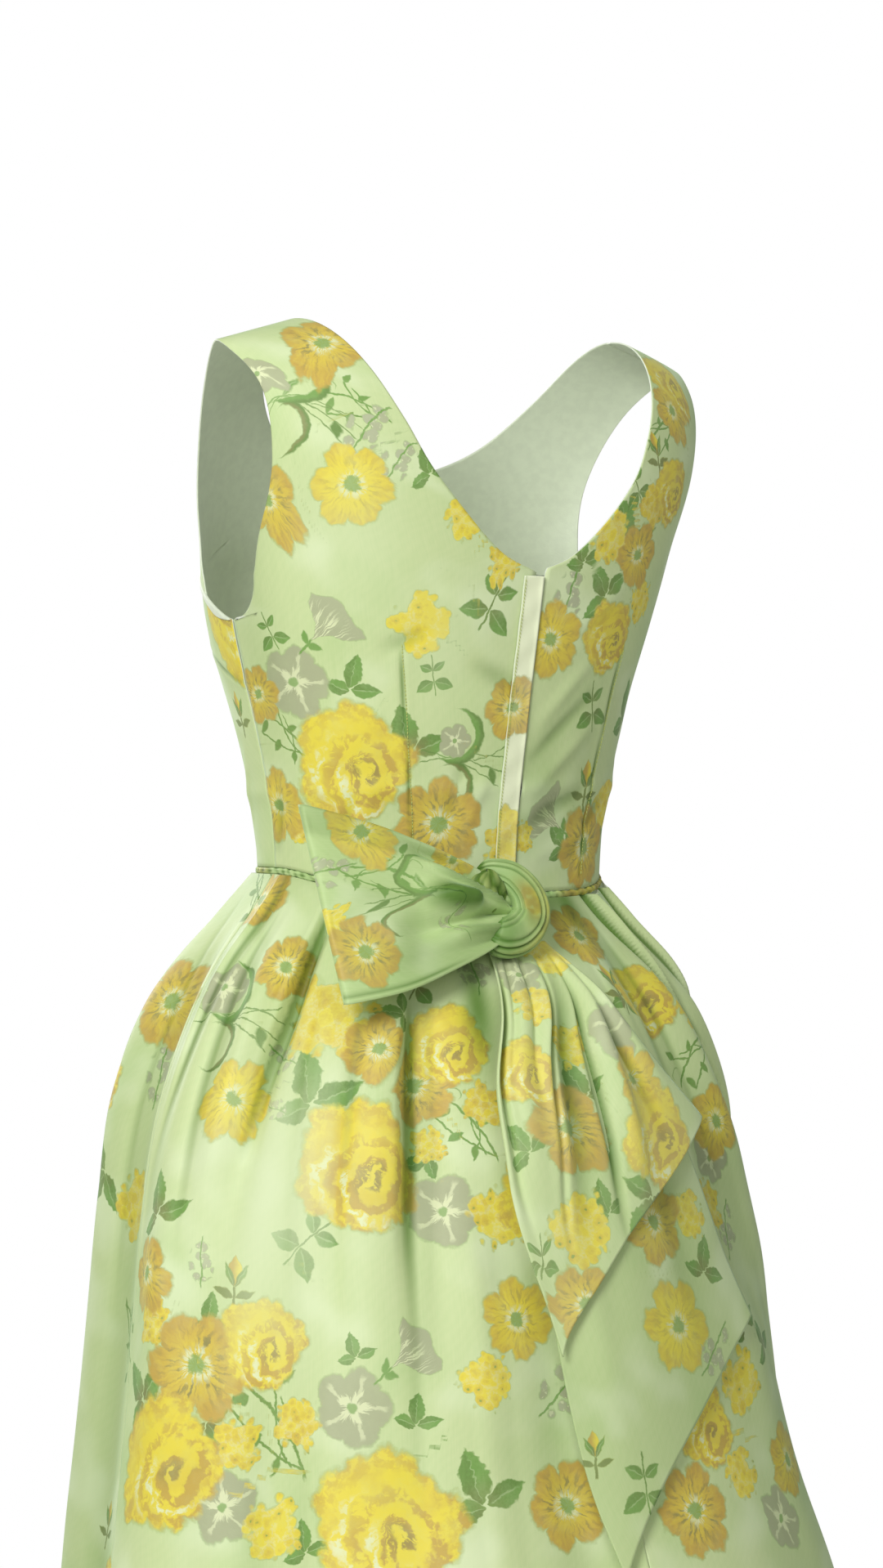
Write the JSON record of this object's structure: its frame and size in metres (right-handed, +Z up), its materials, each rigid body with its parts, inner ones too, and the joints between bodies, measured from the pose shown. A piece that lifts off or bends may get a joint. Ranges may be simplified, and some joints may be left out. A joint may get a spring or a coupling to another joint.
{
  "type": "party dress",
  "caption": "Sleeveless party dress with a fitted bodice, deep V back, full flared skirt and a sash bow tied at the back waist, in its hollow worn form.",
  "frame": {"origin": "midway between the two shoulder seams, where the wearer's shoulders carry the dress", "axes": "+Z up, the front faces -Y, the wearer's left is +X"},
  "size_m": [0.6014, 0.5257, 1.0193],
  "materials": {
    "printed_organza": "sheer floral printed organza over a pale lining, soft sheen",
    "sash_organza": "doubled floral printed organza, soft sheen",
    "corded_piping": "bias covered cord, matte",
    "zip_tape": "woven zip tape with a closed chain"
  },
  "bodies": {
    "root": {"bodice_front": "printed_organza", "bodice_back_left": "printed_organza", "bodice_back_right": "printed_organza", "zip_lap": "printed_organza", "zip_tape": "zip_tape", "waist_piping": "corded_piping", "skirt_front": "printed_organza", "skirt_back_left": "printed_organza", "skirt_back_right": "printed_organza", "bow_loop": "sash_organza", "bow_knot": "sash_organza", "bow_tail_short": "sash_organza", "bow_tail_long": "sash_organza"}
  },
  "joints": []
}
